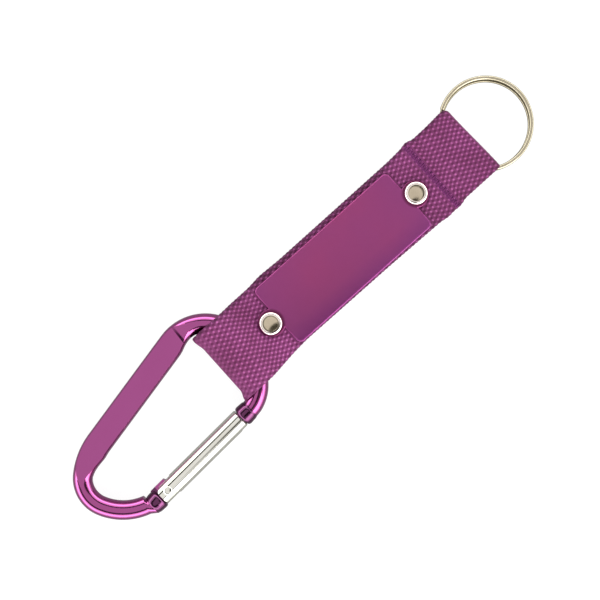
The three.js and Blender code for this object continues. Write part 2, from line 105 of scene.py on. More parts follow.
def smooth(value, start, end):
    """0 before start and 1 after end, with a soft step between; start may be the larger one."""
    t = np.clip((np.asarray(value, float) - start) / (end - start), 0.0, 1.0)
    return t * t * (3 - 2 * t)


# ---- meshes ----
def new_mesh(name, points, faces, crease=40.0, uv=None, attributes=None):
    """A mesh object from strap-frame points; edges sharper than crease degrees stay sharp."""
    data = bpy.data.meshes.new(name)
    data.from_pydata(place(points).tolist(), [], [list(f) for f in faces])
    data.update()
    data.shade_smooth()
    data.set_sharp_from_angle(angle=math.radians(crease))
    if uv is not None:
        corners = np.zeros(len(data.loops), np.int32)
        data.loops.foreach_get("vertex_index", corners)
        layer = data.uv_layers.new(name="tape")
        layer.data.foreach_set("uv", np.asarray(uv, np.float32)[corners].ravel())
    for key, values in (attributes or {}).items():
        data.attributes.new(key, "FLOAT", "POINT").data.foreach_set("value", np.asarray(values, np.float32))
    piece = bpy.data.objects.new(name, data)
    bpy.context.scene.collection.objects.link(piece)
    return piece


def ring_faces(rings, sides):
    """Quads between rings of points, and last a flat end over the first ring and one over the last."""
    faces = []
    for a in range(0, (rings - 1) * sides, sides):
        for k in range(sides):
            n = (k + 1) % sides
            faces.append((a + k, a + n, a + sides + n, a + sides + k))
    faces.append(tuple(range(sides - 1, -1, -1)))
    faces.append(tuple(range((rings - 1) * sides, rings * sides)))
    return faces


def outward(piece):
    """Turns every face so that it points out of the closed mesh."""
    work = bmesh.new()
    work.from_mesh(piece.data)
    bmesh.ops.recalc_face_normals(work, faces=work.faces)
    work.to_mesh(piece.data)
    work.free()
    return piece


def turned(name, profile, x, y, material, sides=96):
    """A profile of (radius, height) pairs turned about an upright axis; it starts and ends on the axis."""
    inner = profile[1:-1]
    points = []
    for r, z in inner:
        for k in range(sides):
            angle = 2 * PI * k / sides
            points.append((x + r * math.cos(angle), y + r * math.sin(angle), z))
    faces = ring_faces(len(inner), sides)[:-2]
    first, last = len(points), len(points) + 1
    points += [(x, y, profile[0][1]), (x, y, profile[-1][1])]
    for k in range(sides):
        n = (k + 1) % sides
        faces.append((first, n, k))
        base = (len(inner) - 1) * sides
        faces.append((last, base + k, base + n))
    piece = outward(new_mesh(name, points, faces))
    piece.data.materials.append(material)
    return piece


def tube(line, radius, sides=8, side=None):
    """Points and faces of a round tube along a line; side gives unit vectors square to the line."""
    along = np.gradient(line, axis=0)
    along /= np.linalg.norm(along, axis=1)[:, None]
    if side is None:
        side = np.cross(along, (0.0, 0.0, 1.0))
        side /= np.linalg.norm(side, axis=1)[:, None]
    up = np.cross(side, along)
    angles = (2 * PI * np.arange(sides) / sides)[None, :, None]
    rings = line[:, None, :] + radius * (np.cos(angles) * side[:, None, :] + np.sin(angles) * up[:, None, :])
    return rings.reshape(-1, 3), ring_faces(len(line), sides)


def joined(name, parts, material):
    """One mesh from several (points, faces) pairs."""
    points, faces = [], []
    for part_points, part_faces in parts:
        start = sum(len(p) for p in points)
        points.append(np.asarray(part_points, float))
        faces += [tuple(start + i for i in face) for face in part_faces]
    piece = outward(new_mesh(name, np.vstack(points), faces, 60.0))
    piece.data.materials.append(material)
    return piece


def cut_with(piece, tools, operation, crease, material):
    """Cuts piece with, or joins it to, each tool mesh, removes the tools and gives it its material."""
    for tool in tools:
        step = piece.modifiers.new("cut", "BOOLEAN")
        step.operation = operation
        step.solver = "EXACT"
        step.object = tool
    graph = bpy.context.evaluated_depsgraph_get()
    result = bpy.data.meshes.new_from_object(piece.evaluated_get(graph))
    piece.modifiers.clear()
    piece.data = result
    result.set_sharp_from_angle(angle=math.radians(crease))
    result.materials.clear()
    result.materials.append(material)
    for tool in tools:
        bpy.data.objects.remove(tool)


# ---- materials ----
def linear(red, green, blue):
    """An sRGB colour, 0 to 255, as linear light."""
    out = []
    for value in (red, green, blue):
        v = value / 255
        out.append(v / 12.92 if v <= 0.04045 else ((v + 0.055) / 1.055) ** 2.4)
    return (*out, 1.0)


class Nodes:
    """A node tree, with short calls to add nodes to it."""

    def __init__(self, tree):
        self.tree = tree

    def add(self, kind, inputs=None, **settings):
        node = self.tree.nodes.new(kind)
        for key, value in settings.items():
            setattr(node, key, value)
        for key, value in (inputs or {}).items():
            if isinstance(value, bpy.types.NodeSocket):
                self.tree.links.new(value, node.inputs[key])
            else:
                node.inputs[key].default_value = value
        return node

    def math(self, operation, a, b=0.0, c=0.0):
        return self.add("ShaderNodeMath", {0: a, 1: b, 2: c}, operation=operation).outputs[0]

    def vector_math(self, operation, a, b=(0.0, 0.0, 0.0)):
        """The node's outputs; "Vector" or "Value" says which one is meant."""
        return self.add("ShaderNodeVectorMath", {0: a, 1: b}, operation=operation).outputs

    def axes(self, vector):
        return self.add("ShaderNodeSeparateXYZ", {"Vector": vector}).outputs

    def blend(self, factor, a, b, kind="MIX"):
        inputs = {"Factor": factor, 6: a, 7: b}      # 6 and 7 are the node's two colours
        return self.add("ShaderNodeMix", inputs, data_type="RGBA", blend_type=kind).outputs[2]

    def spread(self, value, low, high, to_low=0.0, to_high=1.0):
        """value from low to high, read as to_low to to_high and held there beyond."""
        inputs = {"Value": value, "From Min": low, "From Max": high, "To Min": to_low, "To Max": to_high}
        return self.add("ShaderNodeMapRange", inputs).outputs["Result"]


class Surface(Nodes):
    """A material: a Principled shader and the nodes that feed it."""

    def __init__(self, name, **sockets):
        self.material = bpy.data.materials.new(name)
        self.material.use_nodes = True
        super().__init__(self.material.node_tree)
        self.shader = self.tree.nodes["Principled BSDF"]
        for key, value in sockets.items():
            self.shader.inputs[key.replace("_", " ")].default_value = value

    def place_in_object(self, stretch=(1, 1, 1), turn=0.0):
        where = self.add("ShaderNodeTexCoord").outputs["Object"]
        inputs = {"Vector": where, "Scale": stretch, "Rotation": (0.0, 0.0, turn)}
        return self.add("ShaderNodeMapping", inputs).outputs["Vector"]

    def stretched(self, vector, scale):
        return self.add("ShaderNodeMapping", {"Vector": vector, "Scale": scale}).outputs["Vector"]

    def from_centre(self):
        """Distance from the upright line through the middle of the mesh's box; a round mesh ends at 0.5."""
        where = self.add("ShaderNodeTexCoord").outputs["Generated"]
        across = self.vector_math("SUBTRACT", where, (0.5, 0.5, 0.0))["Vector"]
        flat = self.vector_math("MULTIPLY", across, (1.0, 1.0, 0.0))["Vector"]
        return self.vector_math("LENGTH", flat)["Value"]

    def noise(self, scale, detail=2.0, where=None, rough=0.5):
        inputs = {"Scale": scale, "Detail": detail, "Roughness": rough}
        if where is not None:
            inputs["Vector"] = where
        return self.add("ShaderNodeTexNoise", inputs).outputs["Fac"]

    def bump(self, height, depth, strength=1.0):
        """Height 0 to 1 read as a relief depth metres deep."""
        inputs = {"Height": height, "Distance": depth, "Strength": strength}
        return self.add("ShaderNodeBump", inputs).outputs["Normal"]

    def link(self, socket, value):
        self.tree.links.new(value, self.shader.inputs[socket])


WEAVE_X = 1.35        # length of one float of the weave, along the tape
WEAVE_Y = 0.825       # its width, across the tape
FLOAT_POINT = 2.6     # how much shorter than its length a float's crown is


def webbing_material():
    """Plain-woven nylon tape: painted light on the floats, painted shade in the gaps between them, fine
    filaments along each float.
    """
    s = Surface("webbing_nylon", Roughness=0.72, Sheen_Weight=0.08, Sheen_Roughness=0.5, IOR=1.5)
    s.shader.inputs["Specular IOR Level"].default_value = 0.25
    s.shader.inputs["Sheen Tint"].default_value = linear(225, 150, 200)
    where = s.add("ShaderNodeUVMap", uv_map="tape").outputs["UV"]
    on_tape = s.axes(where)
    u, v = on_tape["X"], on_tape["Y"]
    across = s.math("COSINE", s.math("MULTIPLY", v, PI / WEAVE_Y))
    along = s.math("COSINE", s.math("MULTIPLY", u, PI / WEAVE_X))
    along = s.math("MULTIPLY", along, s.math("POWER", s.math("ABSOLUTE", along), FLOAT_POINT))
    checker = s.math("MULTIPLY", across, along)
    amount = s.add("ShaderNodeAttribute", attribute_name="weave").outputs["Fac"]
    lit = s.spread(s.math("MULTIPLY", checker, amount), -0.2, 0.85)
    filaments = s.noise(1.6, 3.0, s.stretched(where, (0.9, 9.0, 1.0)), 0.6)
    patches = s.noise(90.0, 2.0, s.place_in_object())
    uneven = s.noise(0.8, 2.0, s.stretched(where, (1.0, 1.6, 1.0)))
    lit = s.math("MULTIPLY", lit, s.spread(uneven, 0.3, 0.7, 0.7, 1.15))
    # painted light on the weave's floats, painted shade in the gaps between them
    colour = s.blend(lit, linear(88, 20, 70), linear(190, 102, 168))
    colour = s.blend(s.spread(filaments, 0.3, 0.75, 0.0, 0.3), colour, linear(142, 64, 114))
    colour = s.blend(s.spread(patches, 0.35, 0.65, 0.0, 0.4), colour, linear(150, 62, 112), "MULTIPLY")
    # painted shade: the tape is darkened towards the split ring's end, where less light falls
    ring_end_shade = s.spread(s.axes(s.place_in_object())["X"], 0.01, 0.06, 0.0, 0.75)
    colour = s.blend(ring_end_shade, colour, linear(220, 210, 218), "MULTIPLY")
    for start, end, depth in ((11.4, 12.3, 0.55), (-11.7, -12.5, 0.3)):       # painted shade along the two selvedges, where the tape turns away from the light
        colour = s.blend(s.spread(v, start, end, 0.0, depth), colour, linear(150, 110, 150), "MULTIPLY")
    s.link("Base Color", colour)
    height = s.math("MULTIPLY_ADD", filaments, 0.5, lit)
    s.link("Normal", s.bump(height, 0.00007, 0.7))
    return s.material


def thread_material():
    s = Surface("thread_nylon", Roughness=0.7, Sheen_Weight=0.05)
    s.shader.inputs["Specular IOR Level"].default_value = 0.25
    twist = s.noise(5200.0, 2.0, s.place_in_object((1.0, 0.35, 1.0), 0.6))
    s.link("Base Color", s.blend(s.spread(twist, 0.3, 0.7), linear(76, 18, 70), linear(120, 40, 104)))
    s.link("Normal", s.bump(twist, 0.00006))
    return s.material


def anodised_material(name, colour, light, shaded, rough, grain, coat):
    """Dyed anodised aluminium: coloured metal under a clear oxide layer, with faint handling marks.

    shaded takes the surface and its colour and returns the colour with the piece's painted shade.
    """
    s = Surface(name, Metallic=1.0, Roughness=rough, Coat_Weight=coat, Coat_Roughness=0.08, Coat_IOR=1.7)
    clouds = s.noise(60.0, 2.0, s.place_in_object())
    specks = s.noise(2600.0, 2.0, s.place_in_object())
    scratches = s.noise(420.0, 2.0, s.place_in_object((1.0, 14.0, 1.0), 0.35))
    s.link("Base Color", shaded(s, s.blend(s.spread(clouds, 0.3, 0.7), colour, light)))
    s.link("Roughness", s.spread(scratches, 0.35, 0.75, rough, rough * 1.35))
    s.link("Normal", s.bump(specks, grain))
    return s.material


def bright_metal(name, colour, dull, rough, stretch=(1, 1, 1), turn=0.0, shade_between_coils=False, rim=False):
    """Plated or polished metal, with fine drawn lines and a slightly uneven tone.

    A piece with shade_between_coils gets painted shade where the mesh's coil_shade attribute says that two
    turns of wire face each other.
    A round piece with a rim gets a painted highlight that pales it towards its edge.
    """
    s = Surface(name, Metallic=1.0, Roughness=rough)
    lines = s.noise(900.0, 3.0, s.place_in_object(stretch, turn))
    clouds = s.noise(140.0, 2.0, s.place_in_object())
    colour = s.blend(s.spread(clouds, 0.35, 0.7), colour, dull)
    if shade_between_coils:
        # painted shade where the split ring's two turns face each other
        coil_shade = s.add("ShaderNodeAttribute", attribute_name="coil_shade").outputs["Fac"]
        colour = s.blend(s.math("MULTIPLY", coil_shade, 0.9), colour, linear(66, 60, 40))
    if rim:
        # painted highlight on the rim of the rivet caps and posts
        rim_highlight = s.spread(s.from_centre(), 0.35, 0.38, 0.0, 0.85)
        colour = s.blend(rim_highlight, colour, linear(250, 238, 234))
    s.link("Base Color", colour)
    s.link("Roughness", s.spread(lines, 0.3, 0.7, rough * 0.8, rough * 1.5))
    s.link("Normal", s.bump(lines, 0.0000015))
    return s.material


GATE_ANGLE = math.radians(2.8)
COLLAR_DEPTH = 3.5            # length of the swaged collar at each end of the gate
HINGE_COLLAR_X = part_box("gate_tube")[0].x / MM - COLLAR_DEPTH / 2
LATCH_COLLAR_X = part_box("gate_tube")[1].x / MM + COLLAR_DEPTH / 2 + 0.3


def painted_collar_shade(s, colour):
    """Painted shade: the swaged collars are coloured darker than the rest of the rod."""
    place_xyz = s.axes(s.place_in_object())
    by_gate = s.spread(place_xyz["Y"], -0.009, -0.010)      # not on the spine
    for x in (HINGE_COLLAR_X, LATCH_COLLAR_X):
        away = s.math("ABSOLUTE", s.math("SUBTRACT", place_xyz["X"], x * MM))
        on_collar = s.math("MULTIPLY", s.spread(away, 0.0023, 0.0020), by_gate)
        # painted shade on each collar
        colour = s.blend(s.math("MULTIPLY", on_collar, 0.85), colour, linear(66, 14, 58))
    return colour


def painted_plate_shade(s, colour):
    """Painted shade: the plate's ends and its lower edge are coloured a little darker and more violet than
    its middle, and a painted shadow rings each rivet cap.
    """
    place_xyz = s.axes(s.place_in_object())
    centre = middle("name_plate")
    away = s.math("ABSOLUTE", s.math("SUBTRACT", place_xyz["X"], centre.x * MM))
    # painted shade towards the plate's ends
    ends = s.spread(away, 0.012, 0.0275, 0.0, 0.65)
    colour = s.blend(ends, colour, linear(138, 63, 121))
    # painted shade along the plate's lower edge
    low_edge = s.spread(place_xyz["Y"], (centre.y - 5) * MM, (centre.y - 10.8) * MM, 0.0, 0.8)
    colour = s.blend(low_edge, colour, linear(128, 56, 116))
    for node in ("rivet_cap_a", "rivet_cap_b"):
        rivet = Vector((middle(node).x, middle(node).y, top_of("name_plate"))) * MM
        away = s.vector_math("DISTANCE", s.place_in_object(), tuple(rivet))["Value"]
        ring = s.spread(away, 0.0047, 0.0040, 0.0, 0.8)        # the cap's shade on the plate
        colour = s.blend(ring, colour, linear(82, 22, 52))
    return colour


WEBBING = webbing_material()
THREAD = thread_material()
ROD_PURPLE = anodised_material("rod_anodised", linear(159, 68, 131), linear(162, 72, 135), painted_collar_shade,
                               0.12, 0.0000008, 0.35)
PLATE_PURPLE = anodised_material("plate_anodised", linear(152, 64, 114), linear(147, 64, 117), painted_plate_shade,
                                 0.36, 0.000003, 0.1)
NICKEL = bright_metal("nickel_plate", linear(200, 186, 163), linear(182, 168, 145), 0.12, rim=True)
RING_NICKEL = bright_metal("ring_nickel", linear(190, 179, 158), linear(176, 165, 143), 0.14, shade_between_coils=True)
ALUMINIUM = bright_metal("polished_aluminium", linear(228, 226, 217), linear(218, 215, 205), 0.07,
                         stretch=(1.0, 24.0, 1.0), turn=-GATE_ANGLE)
STEEL = bright_metal("spring_steel", linear(172, 172, 170), linear(150, 150, 150), 0.28)


# ---- webbing ----
HALF = 0.6                     # half the tape's thickness
NOMINAL_WIDTH = 24.8
FRONT_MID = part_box("webbing_front")[0].z / MM + HALF
BACK_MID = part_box("webbing_back")[0].z / MM + HALF
SEAM_X = middle("stitch_thread_front").x - ORIGIN[0] + 0.25
TAPE_SPLIT_X = RIVET_PITCH / 2      # the two visual tapes meet under the name plate
TAPE_STEP = WEAVE_X / 6
RELIEF = 0.12                  # how far a float's crown stands out of the tape, and its gap goes in
ROUND_EDGE = 0.5               # radius of the selvedge

ROD = 3.0                      # radius of the carabiner's rod
ROD_Z = (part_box("carabiner_body")[0].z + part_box("carabiner_body")[1].z) / 2 / MM
WIDE_LOW = (-24.0, -3.9, 11.6)       # arc centres and radii of the rod's centre line
WIDE_HIGH = (-24.0, 3.3, 13.75)
LEAVE_X = -3.9                 # where the front layer starts to climb over the rod
CLEARANCE = 0.1                # between the rod and the tape over it
MEAN_AXIS_X = -11.8            # X of the rod's centre line inside the loop, on average
UNDER_X = -9.2                 # where the lower layer lifts off the floor


def rod_axis_x(y):
    """X of the rod's centre line inside the loop of webbing."""
    arcs = [cx + np.sqrt(np.maximum(r * r - (y - cy) ** 2, 1.0)) for cx, cy, r in (WIDE_LOW, WIDE_HIGH)]
    return np.maximum(*arcs)


def climb(x, axis_x):
    """Height of the front layer's middle where it goes up over the rod, flat beyond the rod's crown."""
    radius = ROD + HALF + CLEARANCE
    rise = ROD_Z - FRONT_MID
    run = LEAVE_X - axis_x
    slope = np.arctan2(rise, run) + np.arcsin(radius / np.hypot(run, rise))
    touch_x = axis_x + radius * np.sin(slope)
    ramp = FRONT_MID + (LEAVE_X - x) * np.tan(slope)
    over = ROD_Z + np.sqrt(np.maximum(radius ** 2 - np.clip(x - axis_x, 0, None) ** 2, 0.0))
    return np.where(x > LEAVE_X, FRONT_MID, np.where(x > touch_x, ramp, over))


def soft_climb(x, axis_x):
    """The climb with its corners eased, as stiff tape bends."""
    reach = 1.6
    offsets = np.linspace(-reach, reach, 9)
    weights = np.cos(offsets / reach * PI / 2) + 0.05
    heights = sum(w * climb(x + o, axis_x) for w, o in zip(weights, offsets))
    return heights / weights.sum()


def bezier(a, b, c, d, count=24):
    t = np.linspace(0, 1, count)[:, None]
    a, b, c, d = (np.asarray(p, float) for p in (a, b, c, d))
    return a * (1 - t) ** 3 + 3 * b * t * (1 - t) ** 2 + 3 * c * t * t * (1 - t) + d * t ** 3


def arc(cx, cz, radius, start, end, count=48):
    t = np.radians(np.linspace(start, end, count))
    return np.column_stack([cx + radius * np.cos(t), cz + radius * np.sin(t)])


def resampled(line, step):
    """The line again at even steps, and how far along it each point is."""
    line = np.vstack([line[:1], line[1:][np.linalg.norm(np.diff(line, axis=0), axis=1) > 1e-6]])
    length = np.concatenate([[0], np.cumsum(np.linalg.norm(np.diff(line, axis=0), axis=1))])
    stations = np.linspace(0, length[-1], int(round(length[-1] / step)) + 1)
    points = np.column_stack([np.interp(stations, length, line[:, i]) for i in (0, 1)])
    return points, stations


def edge(knots):
    """A tape edge: Y against X through a few points, rounded off between them."""
    xs = np.array([k[0] for k in knots])
    ys = np.array([k[1] for k in knots])

    def at(x):
        offsets = np.linspace(-1.0, 1.0, 7)
        return sum(np.interp(x + o, xs, ys) for o in offsets) / len(offsets)
    return at


FRONT_HIGH = edge([(-22, 12.5), (-16, 12.6), (-10, 12.5), (-2, 12.3), (7, 12.7), (57, 12.5), (63, 13.1),
                   (66, 13.4), (68, 14.0), (70, 13.1), (75, 13.1), (82, 13.5), (86, 13.4)])
FRONT_LOW = edge([(-22, -12.5), (-10, -12.5), (-7, -12.2), (0, -11.4), (5, -11.1), (40, -11.3), (60, -11.7),
                  (63, -12.2), (65, -11.9), (68, -12.1), (70.5, -11.3), (86, -11.2)])
BACK_HIGH = edge([(-22, 12.5), (-12, 12.8), (-5, 12.9), (2, 12.9), (7, 13.4), (15, 13.05), (60, 13.1),
                  (66, 13.4), (68, 13.8), (70, 13.1), (86, 13.2)])
BACK_LOW = edge([(-22, -12.4), (-7, -12.0), (5, -11.0), (40, -11.1), (60, -11.5), (68, -11.9), (70, -11.2),
                 (86, -11.1)])


def section_layout(outer_count, inner_count, edge_count):
    """The tape's section as arrays: place across, side of the tape (1 outer, -1 inner), edge roundness."""
    turn = np.linspace(PI / 2, -PI / 2, edge_count + 2)[1:-1]
    across = [np.linspace(0, 1, outer_count), np.ones(edge_count), np.linspace(1, 0, inner_count),
              np.zeros(edge_count)]
    side = [np.ones(outer_count), np.sin(turn), -np.ones(inner_count), -np.sin(turn)]
    bulge = [np.zeros(outer_count), np.cos(turn), np.zeros(inner_count), -np.cos(turn)]
    return (np.concatenate(a) for a in (across, side, bulge))


def tape(name, line, sense, layer_of, shape, weave_of):
    """A woven tape along a line of (X, Z) points.

    sense is -1 where the line sets off towards -X and 1 towards +X; layer_of says how far a point of
    the line is on the back layer; shape moves the finished points; weave_of says how plain the weave is.
    """
    points, length = resampled(line, TAPE_STEP)
    along = np.gradient(points, axis=0)
    along /= np.linalg.norm(along, axis=1)[:, None]
    normal = np.column_stack([-along[:, 1], along[:, 0]]) * sense
    across, side, bulge = section_layout(120, 60, 5)
    scallop = 0.06 * np.cos(2 * PI * length / WEAVE_X)
    mid_x, mid_z = points.T
    layer = layer_of(mid_x, mid_z)
    low = mix(FRONT_LOW(mid_x), BACK_LOW(mid_x), layer) - scallop
    high = mix(FRONT_HIGH(mid_x), BACK_HIGH(mid_x), layer) + scallop
    y = (low + ROUND_EDGE)[:, None] + (high - low - 2 * ROUND_EDGE)[:, None] * across + ROUND_EDGE * bulge
    u = np.repeat((sense * length)[:, None], len(across), axis=1)
    v = np.broadcast_to((across - 0.5) * NOMINAL_WIDTH + ROUND_EDGE * bulge, u.shape)
    along_float = np.cos(PI * u / WEAVE_X)
    checker = along_float * np.abs(along_float) ** FLOAT_POINT * np.cos(PI * v / WEAVE_Y)
    weave = weave_of(mid_x[:, None], mid_z[:, None])
    relief = RELIEF * np.sign(checker) * np.abs(checker) ** 0.8 * weave
    depth = (HALF - RELIEF + relief) * side
    x = mid_x[:, None] + normal[:, :1] * depth
    z = mid_z[:, None] + normal[:, 1:] * depth
    x, y, z = shape(x, y, z, layer[:, None])
    grid = np.stack([x, y, z], axis=-1).reshape(-1, 3)
    uv = np.stack([u, v], axis=-1).reshape(-1, 2)
    faces = ring_faces(len(length), len(across))
    weave = np.broadcast_to(weave, u.shape).ravel()
    piece = outward(new_mesh(name, grid, faces, 60.0, uv, {"weave": weave}))
    piece.data.materials.append(WEBBING)
    return piece


def seam_groove(x, z, layer):
    """The seam draws the layers together."""
    pinch = 0.2 * np.exp(-(((x - SEAM_X) / 0.95) ** 4))
    return z - pinch * (layer < 0.5)


def hook_tape():
    """The front layer from the name plate over the rod, round it and back beneath as the back layer."""
    top = 2 * ROD_Z - HALF
    turn_radius = ROD_Z - HALF
    fold_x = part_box("webbing_carabiner_loop")[0].x / MM - ORIGIN[0]
    turn_x = fold_x + HALF + turn_radius
    xs = np.linspace(TAPE_SPLIT_X, turn_x, 400)
    crown = top - (ROD_Z + ROD + HALF + CLEARANCE)
    front = np.column_stack([xs, soft_climb(xs, MEAN_AXIS_X) + crown * smooth(xs, -8.0, -14.0)])
    end_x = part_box("webbing_back")[1].x / MM - ORIGIN[0]
    low = HALF + 0.02
    under = [(turn_x, low), (UNDER_X, low)]
    rise = bezier((UNDER_X, low), (UNDER_X + 1.8, low), (UNDER_X + 3.0, BACK_MID), (UNDER_X + 4.6, BACK_MID))
    line = np.vstack([front, arc(turn_x, ROD_Z, turn_radius, 90, 270), under, rise, [(end_x, BACK_MID)]])

    def layer_of(x, z):
        return np.where((x < -4.0) & (z > ROD_Z), 0.0, np.where(x < turn_x + 1, smooth(z, top, low),
                        np.where(z > (FRONT_MID + BACK_MID) / 2, 0.0, 1.0)))

    def shape(x, y, z, layer):
        on_front = (layer < 0.5) & (x > turn_x)
        drape = soft_climb(x, rod_axis_x(y)) - soft_climb(x, MEAN_AXIS_X)
        z = z + np.where(on_front, drape, 0.0)
        corner = 0.65 * smooth(y, 7.5, 11.5) + smooth(y, -9.0, -12.2)      # the fold's ends are drawn in
        x = x - corner * smooth(x, -14.5, -20.0)
        return x, y, seam_groove(x, z, layer)

    def weave_of(x, z):
        return 1 - 0.68 * smooth(x, -15.0, -19.5) * (z > 1.5)

    piece = tape("tape_hook", line, -1, layer_of, shape, weave_of)
    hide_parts("webbing_front", "webbing_back", "webbing_carabiner_loop")
    return piece


def ring_tape():
    """The front layer from the name plate past the seam, round the split ring and back to its tail."""
    loop_low, loop_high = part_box("webbing_ring_loop")
    fold_x = loop_high.x / MM - ORIGIN[0]
    top = loop_high.z / MM - HALF
    centre_z = (top + HALF) / 2
    radius = centre_z - HALF
    turn_x = fold_x - HALF - radius
    flex_x = loop_low.x / MM - ORIGIN[0]
    tail_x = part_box("webbing_tail")[0].x / MM - ORIGIN[0]
    rise = bezier((flex_x, FRONT_MID), (flex_x + 1.5, FRONT_MID), (flex_x + 2.0, top), (flex_x + 4.2, top))
    line = np.vstack([[(TAPE_SPLIT_X, FRONT_MID)], rise, arc(turn_x, centre_z, radius, 90, -90),
                      [(tail_x, HALF)]])

    def layer_of(x, z):
        return np.where(x > turn_x - 1, smooth(z, top, HALF), z < 1.6)

    def shape(x, y, z, layer):
        slant = 0.75 * smooth(y, -11.0, 12.0) + smooth(y, 11.6, 13.6) ** 2     # the fold isn't square
        x = x - slant * smooth(x, 78.0, 85.0)
        return x, y, seam_groove(x, z, layer)

    def weave_of(x, z):
        return 1 - 0.3 * smooth(x, 83.0, 85.0)

    piece = tape("tape_ring", line, 1, layer_of, shape, weave_of)
    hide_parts("webbing_ring_loop", "webbing_tail")
    return piece


# ---- seam ----
STITCH_PITCH = 0.36
STITCH_REACH = 1.1             # half the seam's width
THREAD_RADIUS = 0.19
FRONT_SEAM_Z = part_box("webbing_front")[1].z / MM - 0.2
BACK_SEAM_Z = 0.24             # the lowest that keeps the thread off the floor


def seam(name, face_z, up, node):
    """Close zigzag stitches across the tape, each thread arching out of the tape and back in."""
    low, high = float(FRONT_LOW(SEAM_X)) + 0.55, float(FRONT_HIGH(SEAM_X)) - 0.55
    count = int((high - low) / STITCH_PITCH)
    t = np.linspace(0, 1, 9)
    arch = np.sin(PI * t) ** 0.5
    parts = []
    for i in range(count):
        start_y = low + i * STITCH_PITCH
        slant = STITCH_PITCH * (0.9 if i % 2 else -0.4)
        wobble = 0.05 * math.sin(2.3 * i) + 0.03 * math.sin(5.1 * i)
        x = SEAM_X + wobble + STITCH_REACH * (2 * t - 1)
        z = face_z + up * (0.2 * arch - 0.16)
        parts.append(tube(np.column_stack([x, start_y + slant * t, z]), THREAD_RADIUS))
    piece = joined(name, parts, THREAD)
    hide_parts(node)
    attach(piece, "strap")


# ---- name plate and rivets ----
PLATE_LOW, PLATE_HIGH = (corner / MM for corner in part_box("name_plate"))
PLATE_LENGTH = 55.0            # without its tabs
PLATE_CORNER = 1.8
TAB_RADIUS = 4.4
TAB_INSET = 0.5                # from the rivet's axis to the tab's centre


def plate_outline(inset):
    """The plate's outline in X and Y, drawn in by inset; the same number of points whatever the inset."""
    left = (RIVET_PITCH - PLATE_LENGTH) / 2 + inset
    right = left + PLATE_LENGTH - 2 * inset
    low = PLATE_LOW.y - ORIGIN[1] + inset
    high = PLATE_HIGH.y - ORIGIN[1] - inset
    corner = PLATE_CORNER - inset * 0.6
    tab = TAB_RADIUS - inset
    reach = left - TAB_INSET
    spread = math.acos(reach / tab)

    def bend(cx, cy, radius, start, end, count):
        angles = np.linspace(start, end, count)
        return [(cx + radius * math.cos(a), cy + radius * math.sin(a)) for a in angles]

    def between(start, end, count):
        shares = np.linspace(0, 1, count + 2)[1:-1]
        return [(mix(start[0], end[0], t), mix(start[1], end[1], t)) for t in shares]

    outline = bend(right - corner, low + corner, corner, -PI / 2, 0, 12)
    outline += bend(RIVET_PITCH - TAB_INSET, 0, tab, spread - PI, PI - spread, 48)
    outline += bend(right - corner, high - corner, corner, 0, PI / 2, 12)
    outline += between(outline[-1], (left + corner, high), 60)
    outline += bend(left + corner, high - corner, corner, PI / 2, PI, 12)
    outline += bend(TAB_INSET, 0, tab, spread, 2 * PI - spread, 48)
    outline += bend(left + corner, low + corner, corner, PI, 1.5 * PI, 12)
    outline += between(outline[-1], outline[0], 60)
    return outline


def name_plate():
    """A thin pressed plate: its rim is rolled down all round, and it is very slightly crowned."""
    low_z, high_z = PLATE_LOW.z, PLATE_HIGH.z
    roll = 0.55                # radius of the rolled rim
    levels = [(0.10, low_z), (0.0, low_z + 0.10)]
    for i in range(9):
        angle = PI / 2 * i / 8
        levels.append((roll * (1 - math.cos(angle)), high_z - 0.06 - roll * (1 - math.sin(angle))))
    levels += [(roll + 0.2, high_z - 0.02), (roll + 0.45, high_z)]
    points = []
    for inset, z in levels:
        points += [(x, y, z) for x, y in plate_outline(inset)]
    faces = ring_faces(len(levels), len(plate_outline(0)))
    piece = outward(new_mesh("plate", points, faces, 50.0))
    piece.data.materials.append(PLATE_PURPLE)
    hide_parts("name_plate")
    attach(piece, "strap")


DOME_TILT = math.radians(14.5)       # slope of the cap's domed middle where it ends
DOME_REACH = 2.3
SHOULDER = (0.2, math.radians(19))    # width and slope of the steeper step outside the dome


def round_node(node):
    """The axis of an upright round CAD node, its radius, and the heights where it starts and ends."""
    low, high = (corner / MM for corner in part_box(node))
    x, y = (low.x + high.x) / 2 - ORIGIN[0], (low.y + high.y) / 2 - ORIGIN[1]
    return x, y, (high.x - low.x) / 2, low.z, high.z


def rivet_cap(letter):
    """A pressed cap: a shallow dome, a short steeper step and a full round shoulder."""
    node = "rivet_cap_" + letter
    x, y, radius, low, high = round_node(node)
    profile = [(0, high)]
    ball = DOME_REACH / math.sin(DOME_TILT)
    for i in range(1, 13):
        tilt = DOME_TILT * i / 12
        profile.append((ball * math.sin(tilt), high - ball * (1 - math.cos(tilt))))
    step, slope = SHOULDER
    shoulder_r, shoulder_z = DOME_REACH + step, profile[-1][1] - step * math.tan(slope)
    profile.append((DOME_REACH + step / 2, profile[-1][1] - step / 2 * math.tan(slope)))
    reach, drop = radius - shoulder_r, shoulder_z - low
    last_turn = 0.22 * PI
    for i in range(13):
        turn = math.sin(last_turn * i / 12) / math.sin(last_turn) * PI / 2
        profile.append((shoulder_r + reach * math.sin(turn), low + drop * math.cos(turn)))
    profile.append((0, low))
    piece = turned("cap_" + letter, profile[::-1], x, y, NICKEL)
    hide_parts(node)
    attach(piece, "strap")


